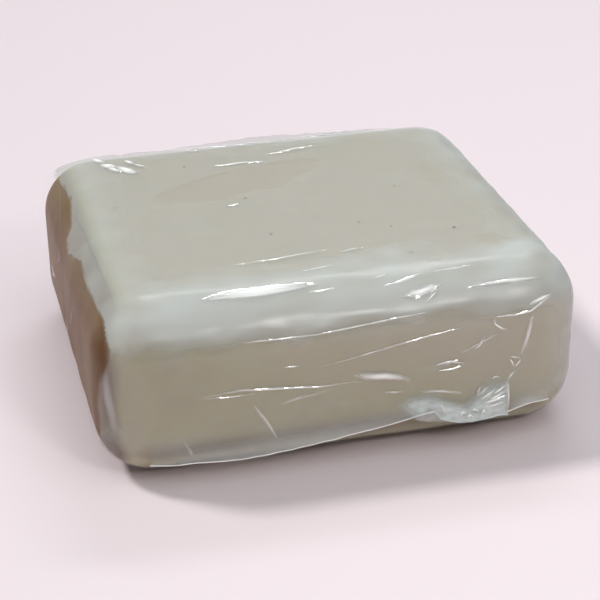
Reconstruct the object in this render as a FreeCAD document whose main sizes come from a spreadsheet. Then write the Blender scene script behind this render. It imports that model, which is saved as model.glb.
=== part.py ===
import FreeCAD, Part
import math
import os
import Sketcher

# Bar of hand soap sold in a tight wrap of clear film.
# Frame: origin under the middle of the bar on the surface it rests on, +X along its length, +Z up,
# and the side that faces the viewer is the one at -Y.

# Driving sizes in millimetres and degrees: name, value, what it sets.
SIZES = (
    ("bar_length", 80, "length of the bar"),
    ("bar_width", 72, "width of the bar"),
    ("bar_height", 30, "height of the bar without its film"),
    ("edge_radius", 9, "radius round every edge and corner of the bar"),
    ("film_thickness", 0.2, "the film where it lies smooth on the soap"),
    ("flap_thickness", 0.45, "the layers of film folded together under the bar"),
    ("crease_height", 0.3, "how far a crease stands proud of the smooth film"),
    ("crease_width", 0.7, "width of a crease at its root"),
    ("crease_tip", 0.12, "width of a crease where it fades out"),
    ("gather_height", 0.8, "how far the bunched film stands proud at a corner"),
    ("gather_width", 1.3, "width of a bunched fold at its foot"),
    ("hem_proud", 0.25, "how far the cut edge of the film hangs clear of the wall"),
    ("hem_top", 12, "level where the hanging edge leaves the wall"),
    ("hem_low", 4, "level of the cut edge where it hangs lowest"),
    ("hem_high", 7.4, "level of the cut edge where it meets the tab"),
    ("tab_width", 15, "width of the tab of doubled film"),
    ("tab_drop", 5.2, "level of the tab's lowest point"),
    ("tab_thickness", 0.5, "the doubled film of the tab"),
    ("tab_lift", 9, "angle at which the tab springs from the wall"),
    ("lap_width", 14, "width of the lapped seam under the bar"),
    ("flap_reach", 24, "how far each folded end reaches in under the bar"),
    ("flap_width", 40, "width of a folded end where it turns under"),
    ("flap_inset", 12, "distance from the end of the bar to the folded end"),
)

doc = FreeCAD.newDocument("WrappedSoap")
dims = doc.addObject("Spreadsheet::Sheet", "Dims")
for row, (alias, value, meaning) in enumerate(SIZES, start=1):
    dims.set(f"A{row}", meaning)
    dims.set(f"B{row}", str(value))
    dims.setAlias(f"B{row}", alias)
doc.recompute()

# The soap stands on the layers of film that are folded under it.
SEAT = "(Dims.film_thickness + Dims.flap_thickness)"


def bind(obj, expressions):
    """Tie properties of an object to expressions over the sheet's sizes."""
    for path, expression in expressions.items():
        obj.setExpression(path, expression)


def add(kind, name, expressions, label=None):
    """Add a document object, bind its sizes and return it."""
    obj = doc.addObject(kind, name)
    obj.Label = label or name
    bind(obj, expressions)
    return obj


def origin_plane(body, role):
    """Return one of a body's own origin planes."""
    return next(item for item in body.Origin.OriginFeatures if item.Role == role)


def outline(body, name, role, corners):
    """Draw a closed outline of straight lines, each corner tied to the sheet, on an origin plane."""
    sketch = body.newObject("Sketcher::SketchObject", name)
    sketch.AttachmentSupport = [(origin_plane(body, role), "")]
    sketch.MapMode = "FlatFace"
    count = len(corners)
    turn = 2 * math.pi / count
    start = [FreeCAD.Vector(10 * math.cos(i * turn), 10 * math.sin(i * turn), 0) for i in range(count)]
    for i in range(count):
        sketch.addGeometry(Part.LineSegment(start[i], start[(i + 1) % count]), False)
    for i in range(count):
        sketch.addConstraint(Sketcher.Constraint("Coincident", i, 2, (i + 1) % count, 1))
    for i, (across, up) in enumerate(corners):
        for kind, expression, value in (("DistanceX", across, start[i].x), ("DistanceY", up, start[i].y)):
            index = sketch.addConstraint(Sketcher.Constraint(kind, -1, 1, i, 1, value))
            sketch.setExpression(f"Constraints[{index}]", expression)
    doc.recompute()
    return sketch


def edges_between(shape, low, high, rise):
    """Name the edges of a shape that lie between two levels and rise by a given height."""
    names = []
    for number, edge in enumerate(shape.Edges, start=1):
        box = edge.BoundBox
        if box.ZMin >= low - 1e-6 and box.ZMax <= high + 1e-6 and abs(box.ZLength - rise) < 1e-6:
            names.append(f"Edge{number}")
    return names


def rounded_block(name, proud, film_foot=False):
    """Build the bar's form, standing proud of the soap all over by an expression over the sheet's sizes.

    It is a block with every edge and corner rounded by one generous radius, centred over the origin. Film
    is pulled into flats round the foot, so there its form is three bevels that touch the rounding.
    """
    body = doc.addObject("PartDesign::Body", name)
    right = f"(Dims.bar_length / 2 + {proud})"
    rear = f"(Dims.bar_width / 2 + {proud})"
    corners = ((f"-{right}", f"-{rear}"), (right, f"-{rear}"), (right, rear), (f"-{right}", rear))
    block = body.newObject("PartDesign::Pad", f"{name}Block")
    block.Profile = outline(body, f"{name}Plan", "XY_Plane", corners)
    bind(block, {"Length": f"Dims.bar_height + 2 * {proud}"})
    bind(body, {"Placement.Base.z": f"{SEAT} - {proud}"})
    doc.recompute()
    rim = block.Shape.BoundBox.ZMax
    base = block
    radius = f"(Dims.edge_radius + {proud})"
    rounded = [("Corners", 0, rim), ("Top", rim, rim)] + ([] if film_foot else [("Foot", 0, 0)])
    for edges, low, high in rounded:
        rounding = body.newObject("PartDesign::Fillet", f"{name}{edges}")
        rounding.Base = (base, edges_between(base.Shape, low, high, high - low))
        bind(rounding, {"Radius": radius})
        doc.recompute()
        base = rounding
    if not film_foot:
        return body
    bevel = body.newObject("PartDesign::Chamfer", f"{name}Bevel")
    bevel.Base = (base, edges_between(base.Shape, 0, 0, 0))
    bind(bevel, {"Size": f"{radius} * (1 - tan(22.5))"})
    doc.recompute()
    brink = bevel.Size.Value
    ease = body.newObject("PartDesign::Chamfer", f"{name}BevelEase")
    loops = edges_between(bevel.Shape, 0, 0, 0) + edges_between(bevel.Shape, brink, brink, 0)
    ease.Base = (bevel, loops)
    bind(ease, {"Size": f"{radius} * (tan(22.5) - tan(11.25))"})
    doc.recompute()
    return body


# The cast bar, the film where it lies smooth on it, and the levels that creases and bunched folds reach.
half_length = "Dims.bar_length / 2"
half_width = "Dims.bar_width / 2"
soap = rounded_block("SoapBar", "0")
soap.Label = "soap_bar"
hollow = rounded_block("FilmHollow", "0", True)
smooth = rounded_block("SmoothFilm", "Dims.film_thickness", True)
crease_level = rounded_block("CreaseLevel", "(Dims.film_thickness + Dims.crease_height)", True)
gather_level = rounded_block("GatherLevel", "(Dims.film_thickness + Dims.gather_height)", True)

# Faces of the bar that creases are laid out on. Each has the direction that counts across it, the one that
# counts up it, the one that points out of it, and its middle.
X_AXIS = FreeCAD.Vector(1, 0, 0)
Y_AXIS = FreeCAD.Vector(0, 1, 0)
Z_AXIS = FreeCAD.Vector(0, 0, 1)
MIDDLE = f"{SEAT} + Dims.bar_height / 2"
FACES = {
    "top": (X_AXIS, Y_AXIS, Z_AXIS, ("0", "0", f"{SEAT} + Dims.bar_height")),
    "base": (X_AXIS, -Y_AXIS, -Z_AXIS, ("0", "0", SEAT)),
    "front": (X_AXIS, Z_AXIS, -Y_AXIS, ("0", f"-{half_width}", MIDDLE)),
    "back": (-X_AXIS, Z_AXIS, Y_AXIS, ("0", half_width, MIDDLE)),
    "left": (-Y_AXIS, Z_AXIS, -X_AXIS, (f"-{half_length}", "0", MIDDLE)),
    "right": (Y_AXIS, Z_AXIS, X_AXIS, (half_length, "0", MIDDLE)),
}
SPANS = {
    "top": ("Dims.bar_length", "Dims.bar_width"),
    "base": ("Dims.bar_length", "Dims.bar_width"),
    "front": ("Dims.bar_length", "Dims.bar_height"),
    "back": ("Dims.bar_length", "Dims.bar_height"),
    "left": ("Dims.bar_width", "Dims.bar_height"),
    "right": ("Dims.bar_width", "Dims.bar_height"),
}
ROOT = "Dims.edge_radius"


def fold(name, face, across, up, turn, length, width="Dims.crease_width"):
    """Add one fold of film as a blade that stands across the film's surface.

    It starts at a share of the face's width and height from the middle, runs at an angle in degrees
    from the across direction for a share of the face's width, and narrows to the crease's tip.
    """
    u, v, out, middle = FACES[face]
    span_u, span_v = SPANS[face]
    run = u * math.cos(math.radians(turn)) + v * math.sin(math.radians(turn))
    blade = add("Part::Wedge", name, {
        "Xmin": f"-{width} / 2",
        "Xmax": f"{width} / 2",
        "X2min": "-Dims.crease_tip / 2",
        "X2max": "Dims.crease_tip / 2",
        "Ymin": "0",
        "Ymax": f"{length:.4f} * {span_u}",
        "Zmin": f"-{ROOT}",
        "Zmax": "2 * Dims.gather_height",
        "Z2min": f"-{ROOT}",
        "Z2max": "2 * Dims.gather_height",
    })
    blade.Placement = FreeCAD.Placement(FreeCAD.Vector(), FreeCAD.Rotation(run.cross(out), run, out, "ZYX"))
    for axis, place, du, dv in zip("xyz", middle, u, v):
        blade.setExpression(
            f"Placement.Base.{axis}",
            f"{place} + {across * du:.5f} * {span_u} + {up * dv:.5f} * {span_v}",
        )
    return blade


def row(name, face, count, start, step, turn, length, width="Dims.crease_width"):
    """Add a row of folds on a face. Each starts a step on from the last, and turns and runs a step more."""
    return [
        fold(
            f"{name}{i}", face, start[0] + i * step[0], start[1] + i * step[1],
            turn[0] + i * turn[1], length[0] + i * length[1], width,
        )
        for i in range(count)
    ]


def fan(name, face, hub, turn, runs):
    """Add folds that all point to one hub on a face. Each run is given by how near and far it lies."""
    span_u, span_v = SPANS[face]
    stretch = dims.get(span_u.removeprefix("Dims.")) / dims.get(span_v.removeprefix("Dims."))
    folds = []
    for i, (near, far) in enumerate(runs):
        angle = turn[0] + i * turn[1]
        across = hub[0] + near * math.cos(math.radians(angle))
        up = hub[1] + near * math.sin(math.radians(angle)) * stretch
        folds.append(fold(f"{name}{i}", face, across, up, angle, far - near))
    return folds


# The top: short draws of tight film, one behind the other, almost in line with the bar's length. More of
# them lie along its front edge and its far edge.
creases = row("TopDraw", "top", 5, start=(-0.20, -0.285), step=(0.11, -0.039), turn=(5, 0),
              length=(0.21, -0.0125))
creases += row("EdgeDraw", "top", 4, start=(-0.28, -0.41), step=(0.17, -0.012), turn=(1.5, 0),
               length=(0.13, 0.02))
creases += row("BackDraw", "top", 3, start=(-0.30, 0.36), step=(0.16, -0.045), turn=(6, -4),
               length=(0.12, 0))

# The front: two fans of creases, drawn to the upper right corner and to the tab below it.
creases += fan("UpperDraw", "front", hub=(0.44, 0.33), turn=(182, 7),
               runs=((0.29, 0.55), (0.20, 0.52), (0.13, 0.24), (0.05, 0.13)))
creases += fan("LowerDraw", "front", hub=(0.30, -0.17), turn=(177, -8),
               runs=((0.28, 0.60), (0.20, 0.33), (0.12, 0.24), (0.08, 0.17)))

# Creases that fall to the hem on the front, and the film crumpled beside the tab.
creases += row("Fall", "front", 2, start=(-0.335, -0.06), step=(0.135, 0), turn=(-62, 0), length=(0.13, 0))
creases += row("Crumple", "front", 5, start=(0.255, -0.30), step=(0.015, 0.07), turn=(38, -6),
               length=(0.07, 0))

# The ends and the back: film gathered down from the top edge towards the foot, as a parcel's end is.
creases += row("LeftFold", "left", 4, start=(0.028, -0.36), step=(-0.018, 0), turn=(62, 18),
               length=(0.42, 0))
creases += row("RightFold", "right", 3, start=(0.033, -0.36), step=(-0.031, 0), turn=(57, 30),
               length=(0.42, 0))
creases += row("BackFold", "back", 4, start=(-0.33, -0.40), step=(0.22, 0), turn=(102, -8),
               length=(0.26, 0))

# The film crumpled where the top meets the far corner at the left.
creases += row("Rumple", "top", 5, start=(-0.39, 0.25), step=(0.03, 0.025), turn=(62, -14),
               length=(0.07, 0))

# The base: folds that run in from the rounded foot to the lapped seam.
creases += row("BaseFoldFront", "base", 3, start=(-0.2, 0.46), step=(0.2, 0), turn=(-68, -22),
               length=(0.26, 0))
creases += row("BaseFoldBack", "base", 3, start=(0.2, -0.46), step=(-0.2, 0), turn=(112, -22),
               length=(0.26, 0))

# The bunched corners: upright folds that are widest at the foot and fade out below the top.
GATHER = "Dims.gather_width"
gathers = []
CORNERS = (("FrontLeft", "front", -1), ("FrontRight", "front", 1),
           ("BackRight", "back", -1), ("BackLeft", "back", 1))
for name, face, side in CORNERS:
    count = 2 if name.endswith("Left") else 1
    gathers += row(f"{name}Gather", face, count, start=(side * 0.410, -0.47), step=(side * 0.036, 0),
                   turn=(90 - side * 3, side * 7), length=(0.22, 0.06), width=GATHER)

# The ear of loose film at the far left corner, and the loose folds along the far edge of the top.
gathers += row("Ear", "left", 2, start=(-0.390, -0.20), step=(-0.040, 0), turn=(92, -5),
               length=(0.24, 0), width=GATHER)
gathers.append(fold("BackLoop", "top", -0.19, 0.463, -1.5, 0.30, width=f"2 * {GATHER}"))
gathers.append(fold("BackLoopEnd", "top", 0.30, 0.470, 180, 0.24, width=GATHER))

crease_blades = add("Part::MultiFuse", "CreaseBlades", {})
crease_blades.Shapes = creases
crease_set = add("Part::Common", "Creases", {})
crease_set.Base = crease_level
crease_set.Tool = crease_blades
gather_blades = add("Part::MultiFuse", "GatherBlades", {})
gather_blades.Shapes = gathers
gather_set = add("Part::Common", "Gathers", {})
gather_set.Base = gather_level
gather_set.Tool = gather_blades
doc.recompute()

# The cut edge of the film hangs straight down from the front wall, clear of the rounded foot.
hem = doc.addObject("PartDesign::Body", "Hem")
hem_start = f"(Dims.edge_radius - {half_length})"
hem_bend = "-Dims.bar_length * 0.10"
tab_left = "Dims.bar_length * 0.14"
tab_right = f"({tab_left} + Dims.tab_width)"
hem_end = f"({half_length} - Dims.edge_radius)"
hem_edge = outline(hem, "HemEdge", "XZ_Plane", (
    (f"{hem_start} + Dims.edge_radius / 4", "Dims.hem_low"),
    (hem_bend, "Dims.hem_low"),
    (tab_left, "Dims.hem_high"),
    (tab_right, "Dims.tab_drop"),
    (hem_end, "(Dims.tab_drop + Dims.hem_high) / 2"),
    (hem_end, "Dims.hem_top"),
    (hem_start, "Dims.hem_top"),
))
hem_sheet = hem.newObject("PartDesign::Pad", "HemSheet")
hem_sheet.Profile = hem_edge
hem_sheet.Reversed = True
bind(hem_sheet, {"Length": "Dims.hem_proud + Dims.film_thickness"})
bind(hem, {"Placement.Base.y": f"-({half_width} + Dims.film_thickness + Dims.hem_proud)"})
doc.recompute()

# The tab: the doubled end of the film, round below and pointed at its far corner.
tab = doc.addObject("PartDesign::Body", "Tab")
tab_middle = "Dims.tab_width / 2"
tab_depth = "(Dims.hem_top - Dims.tab_drop)"
tab_edge = outline(tab, "TabEdge", "XZ_Plane", (
    (f"-{tab_middle}", "0"),
    (f"-{tab_middle} * 0.86", f"-{tab_depth} * 0.62"),
    (f"-{tab_middle} * 0.50", f"-{tab_depth} * 0.90"),
    ("0", f"-{tab_depth}"),
    (f"{tab_middle} * 0.55", f"-{tab_depth} * 0.93"),
    (f"{tab_middle} * 1.05", f"-{tab_depth} * 0.95"),
    (f"{tab_middle} * 0.95", f"-{tab_depth} * 0.50"),
    (tab_middle, "0"),
))
tab_sheet = tab.newObject("PartDesign::Pad", "TabSheet")
tab_sheet.Profile = tab_edge
tab_sheet.Reversed = True
bind(tab_sheet, {"Length": "Dims.tab_thickness"})
tab.Placement = FreeCAD.Placement(FreeCAD.Vector(), FreeCAD.Rotation(X_AXIS, 1))
bind(tab, {
    "Placement.Rotation.Angle": "-Dims.tab_lift",
    "Placement.Base.x": f"({tab_left} + {tab_right}) / 2",
    "Placement.Base.y": f"-({half_width} + Dims.film_thickness)",
    "Placement.Base.z": "Dims.hem_top",
})
doc.recompute()

# Under the bar the two long sides of the film lap in a seam, and the two ends are folded in over it. All the
# layers lie in one level, which is what the bar rests on.
seam = add("Part::Box", "LapSeam", {
    "Length": "Dims.bar_length - 2 * Dims.flap_inset",
    "Width": "Dims.lap_width",
    "Height": "Dims.flap_thickness + Dims.film_thickness",
    "Placement.Base.x": "Dims.flap_inset - Dims.bar_length / 2",
    "Placement.Base.y": "-Dims.lap_width / 2",
})
flaps = []
for name, side in (("LeftFlap", -1), ("RightFlap", 1)):
    flap = add("Part::Wedge", name, {
        "Xmin": "-Dims.flap_width / 2",
        "Xmax": "Dims.flap_width / 2",
        "X2min": "-Dims.lap_width / 2",
        "X2max": "Dims.lap_width / 2",
        "Ymin": "0",
        "Ymax": "Dims.flap_reach",
        "Zmin": "0",
        "Zmax": "Dims.flap_thickness + Dims.film_thickness",
        "Z2min": "0",
        "Z2max": "Dims.flap_thickness + Dims.film_thickness",
    })
    flap.Placement = FreeCAD.Placement(FreeCAD.Vector(), FreeCAD.Rotation(Z_AXIS, 90 * side))
    flap.setExpression("Placement.Base.x", f"{side} * (Dims.bar_length / 2 - Dims.flap_inset)")
    flaps.append(flap)

# One sheet of film: everything above, as one skin round the soap.
sheet = add("Part::MultiFuse", "FilmSheet", {})
sheet.Shapes = [smooth, crease_set, gather_set, hem, tab, seam] + flaps
film = add("Part::Cut", "FilmWrap", {}, label="film_wrap")
film.Base = sheet
film.Tool = hollow
doc.recompute()

for obj in doc.Objects:
    if "Invalid" in obj.State or "Error" in obj.State:
        raise RuntimeError(f"{obj.Name} failed: {obj.State}")
nodes = (soap, film)
for node in nodes:
    if node.Shape.isNull() or not node.Shape.isValid() or len(node.Shape.Solids) != 1:
        raise RuntimeError(f"{node.Label} is not one valid solid: {len(node.Shape.Solids)}")

os.makedirs("parts", exist_ok=True)
for node in nodes:
    node.Shape.exportStep(f"parts/{node.Label}.step")
    box = node.Shape.BoundBox
    size = f"{box.XLength:.2f} x {box.YLength:.2f} x {box.ZLength:.2f} mm"
    print(f"{node.Label}: {len(node.Shape.Shells)} shells, {size}, {node.Shape.Volume / 1000:.2f} cm3")
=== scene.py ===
"""Dresses the wrapped bar of soap: a milky cast bar, and the one sheet of clear film drawn round it."""

import logging
import math
from dataclasses import dataclass, field
from enum import Enum

import bpy
import mathutils
import numpy as np
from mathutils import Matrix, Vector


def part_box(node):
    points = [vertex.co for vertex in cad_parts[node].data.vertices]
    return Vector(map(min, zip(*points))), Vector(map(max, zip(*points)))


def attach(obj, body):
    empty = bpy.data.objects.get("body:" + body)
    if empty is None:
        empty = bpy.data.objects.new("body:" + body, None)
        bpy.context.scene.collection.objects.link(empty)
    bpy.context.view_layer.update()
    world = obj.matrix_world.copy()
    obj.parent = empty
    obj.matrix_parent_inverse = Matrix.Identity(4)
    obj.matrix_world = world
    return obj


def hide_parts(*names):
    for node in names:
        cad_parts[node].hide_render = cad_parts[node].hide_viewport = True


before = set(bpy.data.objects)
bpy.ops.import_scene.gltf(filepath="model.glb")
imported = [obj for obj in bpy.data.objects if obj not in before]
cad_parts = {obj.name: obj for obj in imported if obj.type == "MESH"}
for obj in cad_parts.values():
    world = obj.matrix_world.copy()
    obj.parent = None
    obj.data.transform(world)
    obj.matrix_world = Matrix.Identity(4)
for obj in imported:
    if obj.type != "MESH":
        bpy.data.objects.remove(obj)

LOG = logging.getLogger("wrapped_soap")
MM = 0.001
Triple = tuple[float, float, float]
Path = tuple[tuple[float, float], ...]
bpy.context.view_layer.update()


def span(node: str) -> tuple[np.ndarray, np.ndarray]:
    """Read a CAD node's box.

    Args:
        node: The node's name.

    Returns:
        Its lowest and highest corners in millimetres.
    """
    low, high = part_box(node)
    return np.array(low) / MM, np.array(high) / MM


def unit(vectors: np.ndarray) -> np.ndarray:
    """Scale vectors to length one.

    Args:
        vectors: Vectors along the last axis.

    Returns:
        The same directions, each of length one.
    """
    return vectors / np.maximum(np.linalg.norm(vectors, axis=-1, keepdims=True), 1e-12)


class Side(Enum):
    """The six sides of the bar, each with its across, up and outward directions."""

    TOP = ((1, 0, 0), (0, 1, 0), (0, 0, 1))
    BASE = ((1, 0, 0), (0, -1, 0), (0, 0, -1))
    FRONT = ((1, 0, 0), (0, 0, 1), (0, -1, 0))
    BACK = ((-1, 0, 0), (0, 0, 1), (0, 1, 0))
    LEFT = ((0, -1, 0), (0, 0, 1), (-1, 0, 0))
    RIGHT = ((0, 1, 0), (0, 0, 1), (1, 0, 0))


@dataclass(frozen=True)
class Lens:
    """The photograph's camera, solved from the bar's outline. Lengths are in millimetres."""

    azimuth: float = math.radians(-14.26)
    elevation: float = math.radians(26.97)
    distance: float = 303.6
    roll: float = math.radians(-0.50)
    slide_right: float = 0.98
    slide_up: float = -3.14
    focal_pixels: float = 1725.5
    frame_pixels: float = 600.0
    sensor: float = 36.0

    def axes(self) -> tuple[np.ndarray, np.ndarray, np.ndarray]:
        """Work out the camera's directions.

        Returns:
            Its right, up and backward directions.
        """
        level = math.cos(self.elevation)
        away = -math.cos(self.azimuth) * level
        back = np.array([math.sin(self.azimuth) * level, away, math.sin(self.elevation)])
        right = unit(np.cross(-back, [0.0, 0.0, 1.0]))
        up = np.cross(back, right)
        turned_right = math.cos(self.roll) * right + math.sin(self.roll) * up
        turned_up = math.cos(self.roll) * up - math.sin(self.roll) * right
        return turned_right, turned_up, back

    def place(self, middle: np.ndarray) -> np.ndarray:
        """Work out where the camera stands.

        Args:
            middle: The middle of the bar.

        Returns:
            The camera's place.
        """
        right, up, back = self.axes()
        return middle + back * self.distance + right * self.slide_right + up * self.slide_up

    def rays(self, pixels: np.ndarray) -> np.ndarray:
        """Aim through points of the photograph.

        Args:
            pixels: Points across and down the photograph.

        Returns:
            One direction for each point.
        """
        right, up, back = self.axes()
        offset = (pixels - self.frame_pixels / 2) / self.focal_pixels
        return unit(offset[:, :1] * right - offset[:, 1:] * up - back)

    def pixels(self, points: np.ndarray, middle: np.ndarray) -> np.ndarray:
        """Find where points fall in the photograph.

        Args:
            points: Points in millimetres.
            middle: The middle of the bar.

        Returns:
            One point across and down the photograph for each.
        """
        right, up, back = self.axes()
        reach = points - self.place(middle)
        depth = -(reach @ back)
        offset = self.focal_pixels * np.stack([reach @ right, -(reach @ up)], axis=-1) / depth[:, None]
        return self.frame_pixels / 2 + offset

    def on_wall(self, pixels: np.ndarray, middle: np.ndarray, wall: float) -> np.ndarray:
        """Find what the camera sees on an upright plane in front of the bar.

        Args:
            pixels: Points of the photograph.
            middle: The middle of the bar.
            wall: Where the plane stands along the bar's width.

        Returns:
            One point on the plane for each pixel.
        """
        place = self.place(middle)
        rays = self.rays(pixels)
        return place + rays * ((wall - place[1]) / rays[:, 1])[:, None]


@dataclass(frozen=True)
class BarForm:
    """The form of the cast bar: a block with every edge and corner rounded by one radius, in millimetres."""

    low: np.ndarray
    high: np.ndarray
    radius: float = 9.0

    @property
    def middle(self) -> np.ndarray:
        """The middle of the bar."""
        return (self.low + self.high) / 2

    @property
    def half(self) -> np.ndarray:
        """Half of the bar's length, width and height."""
        return (self.high - self.low) / 2

    def normals(self, points: np.ndarray) -> np.ndarray:
        """Work out which way the bar faces nearest to some points.

        Args:
            points: Points on or outside the bar.

        Returns:
            One outward direction for each point.
        """
        inner = self.half - self.radius
        reach = points - self.middle
        return unit(reach - np.clip(reach, -inner, inner))

    def distance(self, points: np.ndarray) -> np.ndarray:
        """Measure how far points lie outside the bar.

        Args:
            points: Points outside the bar.

        Returns:
            One distance for each point.
        """
        reach = np.abs(points - self.middle) - (self.half - self.radius)
        return np.linalg.norm(np.maximum(reach, 0), axis=-1) + np.minimum(reach.max(axis=-1), 0) - self.radius

    def settle(self, points: np.ndarray, lift: float | np.ndarray) -> np.ndarray:
        """Bring points to a height above the bar's surface.

        Args:
            points: Points near the bar.
            lift: The height above the surface, one for all or one for each.

        Returns:
            The points moved along the surface's outward directions.
        """
        way = self.normals(points)
        gap = np.asarray(lift) - self.distance(points)
        return points + way * gap[..., None]

    def seen(self, lens: Lens, pixels: np.ndarray, lift: float) -> np.ndarray:
        """Find what the camera sees at points of the photograph.

        Args:
            lens: The photograph's camera.
            pixels: Points of the photograph.
            lift: The height above the bar at which the sight is stopped.

        Returns:
            One point at that height for each pixel.
        """
        place = lens.place(self.middle)
        rays = lens.rays(pixels)
        travel = np.full(len(pixels), lens.distance * 0.6)
        for _ in range(80):
            travel += self.distance(place + rays * travel[:, None]) - lift
        return self.settle(place + rays * travel[:, None], lift)

    def on_side(self, side: Side, across: np.ndarray, up: np.ndarray, lift: float) -> np.ndarray:
        """Place points by where they lie on one side.

        Args:
            side: The side of the bar.
            across: Places across the side from its middle.
            up: Places up the side from its middle.
            lift: The height above the bar.

        Returns:
            The points, carried round the rounding where they pass the flat.
        """
        u, v, out = (np.array(way, float) for way in side.value)
        flat = self.middle + across[:, None] * u + up[:, None] * v + out * abs(out @ self.half)
        inner = self.half - self.radius
        reach = flat - self.middle
        core = np.clip(reach, -inner, inner)
        return self.middle + core + unit(reach - core) * (self.radius + lift)


@dataclass(frozen=True)
class Ripple:
    """Smooth seeded unevenness, as a sum of waves. Wavelengths and height are in millimetres."""

    height: float
    wavelength: Triple
    seed: int
    waves: int = 24
    sharp: bool = False

    def at(self, points: np.ndarray) -> np.ndarray:
        """Read the unevenness.

        Args:
            points: Points in millimetres.

        Returns:
            One height for each point.
        """
        random = np.random.default_rng(self.seed)
        total = np.zeros(len(points))
        for _ in range(self.waves):
            way = random.normal(size=3) / np.array(self.wavelength)
            wave = np.sin(points @ (2 * math.pi * way) + random.uniform(0, 2 * math.pi))
            total += np.abs(wave) * 3 - 1.9 if self.sharp else wave
        return total * self.height / math.sqrt(self.waves / 2)


def smooth_step(values: np.ndarray, low: float, high: float) -> np.ndarray:
    """Ease from nought to one between two values.

    Args:
        values: The values to ease.
        low: Where the ease starts.
        high: Where it ends.

    Returns:
        The eased values.
    """
    share = np.clip((values - low) / (high - low), 0, 1)
    return share * share * (3 - 2 * share)


@dataclass
class Nodes:
    """A short way to build one material's node tree."""

    name: str
    material: bpy.types.Material = field(init=False)

    def __post_init__(self) -> None:
        """Start an empty tree with only its output."""
        self.material = bpy.data.materials.new(self.name)
        self.material.use_nodes = True
        self.material.node_tree.nodes.clear()
        self.output = self.add("ShaderNodeOutputMaterial")

    def add(self, kind: str, **values: object) -> bpy.types.Node:
        """Add a node.

        Args:
            kind: The node's type.
            values: Plain settings, and input values by name with _ for a space.

        Returns:
            The node.
        """
        node = self.material.node_tree.nodes.new(kind)
        for key, value in values.items():
            label = key.replace("_", " ")
            if label in node.inputs:
                node.inputs[label].default_value = value
            else:
                setattr(node, key, value)
        return node

    def link(self, source: bpy.types.NodeSocket, target: bpy.types.NodeSocket) -> None:
        """Join an output to an input."""
        self.material.node_tree.links.new(source, target)

    def maths(self, operation: str, first: object, second: object) -> bpy.types.NodeSocket:
        """Add one step of arithmetic.

        Args:
            operation: The name of the step.
            first: A number or an output.
            second: A number or an output.

        Returns:
            The result's output.
        """
        node = self.add("ShaderNodeMath", operation=operation)
        self.feed(first, node.inputs[0])
        self.feed(second, node.inputs[1])
        return node.outputs[0]

    def feed(self, value: object, target: bpy.types.NodeSocket) -> None:
        """Give an input a number, or join it to an output."""
        if isinstance(value, (int, float)):
            target.default_value = value
        else:
            self.link(value, target)

    def mix(self, share: object, first: bpy.types.Node, second: bpy.types.Node) -> bpy.types.Node:
        """Blend two shaders.

        Args:
            share: How much of the second there is, as a number or an output.
            first: The first shader.
            second: The second shader.

        Returns:
            The blend.
        """
        blend = self.add("ShaderNodeMixShader")
        self.feed(share, blend.inputs[0])
        self.link(first.outputs[0], blend.inputs[1])
        self.link(second.outputs[0], blend.inputs[2])
        return blend


@dataclass(frozen=True)
class SoapFinish:
    """Smooth milky soap that lets some light in, with faint mottling, and shade painted in darker colours
    where it falls.
    """

    pale: Triple = (0.475, 0.413, 0.33)
    # Painted shade: the next two colours darken the walls a little, and the shaded left end and underside
    # most.
    warm: Triple = (0.415, 0.37, 0.24)
    painted_shade_brown: Triple = (0.125, 0.055, 0.018)
    roughness: float = 0.42
    depth: float = 0.004

    def build(self) -> bpy.types.Material:
        """Make the material.

        Returns:
            The soap's material.
        """
        nodes = Nodes("cast_soap")
        place = nodes.add("ShaderNodeTexCoord")
        mottle = nodes.add("ShaderNodeTexNoise", Scale=55.0, Detail=4.0, Roughness=0.55)
        nodes.link(place.outputs["Object"], mottle.inputs["Vector"])
        cloud = nodes.maths("MULTIPLY", nodes.maths("SUBTRACT", mottle.outputs["Fac"], 0.5), 0.35)
        # The shade attribute paints shade on the soap: pale where it is lit, darker where shade falls.
        painted_shade_share = nodes.add("ShaderNodeAttribute", attribute_name="shade")
        tones = nodes.add("ShaderNodeValToRGB")
        tones.color_ramp.elements[0].color = (*self.pale, 1)
        tones.color_ramp.elements[1].color = (*self.painted_shade_brown, 1)
        tones.color_ramp.elements.new(0.5).color = (*self.warm, 1)
        nodes.link(nodes.maths("ADD", painted_shade_share.outputs["Fac"], cloud), tones.inputs["Fac"])
        grain = nodes.add("ShaderNodeTexNoise", Scale=300.0, Detail=0.0)
        nodes.link(place.outputs["Object"], grain.inputs["Vector"])
        relief = nodes.add("ShaderNodeBump", Strength=0.02, Distance=0.0003)
        nodes.link(grain.outputs["Fac"], relief.inputs["Height"])
        shader = nodes.add(
            "ShaderNodeBsdfPrincipled", Roughness=self.roughness, Subsurface_Weight=1.0,
            Subsurface_Scale=self.depth, Subsurface_Radius=(1.0, 0.72, 0.5), IOR=1.47,
            Specular_IOR_Level=0.15,
        )
        nodes.link(tones.outputs["Color"], shader.inputs["Base Color"])
        nodes.link(relief.outputs["Normal"], shader.inputs["Normal"])
        nodes.link(shader.outputs[0], nodes.output.inputs["Surface"])
        return nodes.material


@dataclass(frozen=True)
class SpeckFinish:
    """A dark grain caught in the soap's surface."""

    colour: Triple = (0.07, 0.06, 0.05)

    def build(self) -> bpy.types.Material:
        """Make the material.

        Returns:
            The grain's material.
        """
        nodes = Nodes("dark_grain")
        shader = nodes.add("ShaderNodeBsdfPrincipled", Roughness=0.7, Base_Color=(*self.colour, 1))
        nodes.link(shader.outputs[0], nodes.output.inputs["Surface"])
        return nodes.material


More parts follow.
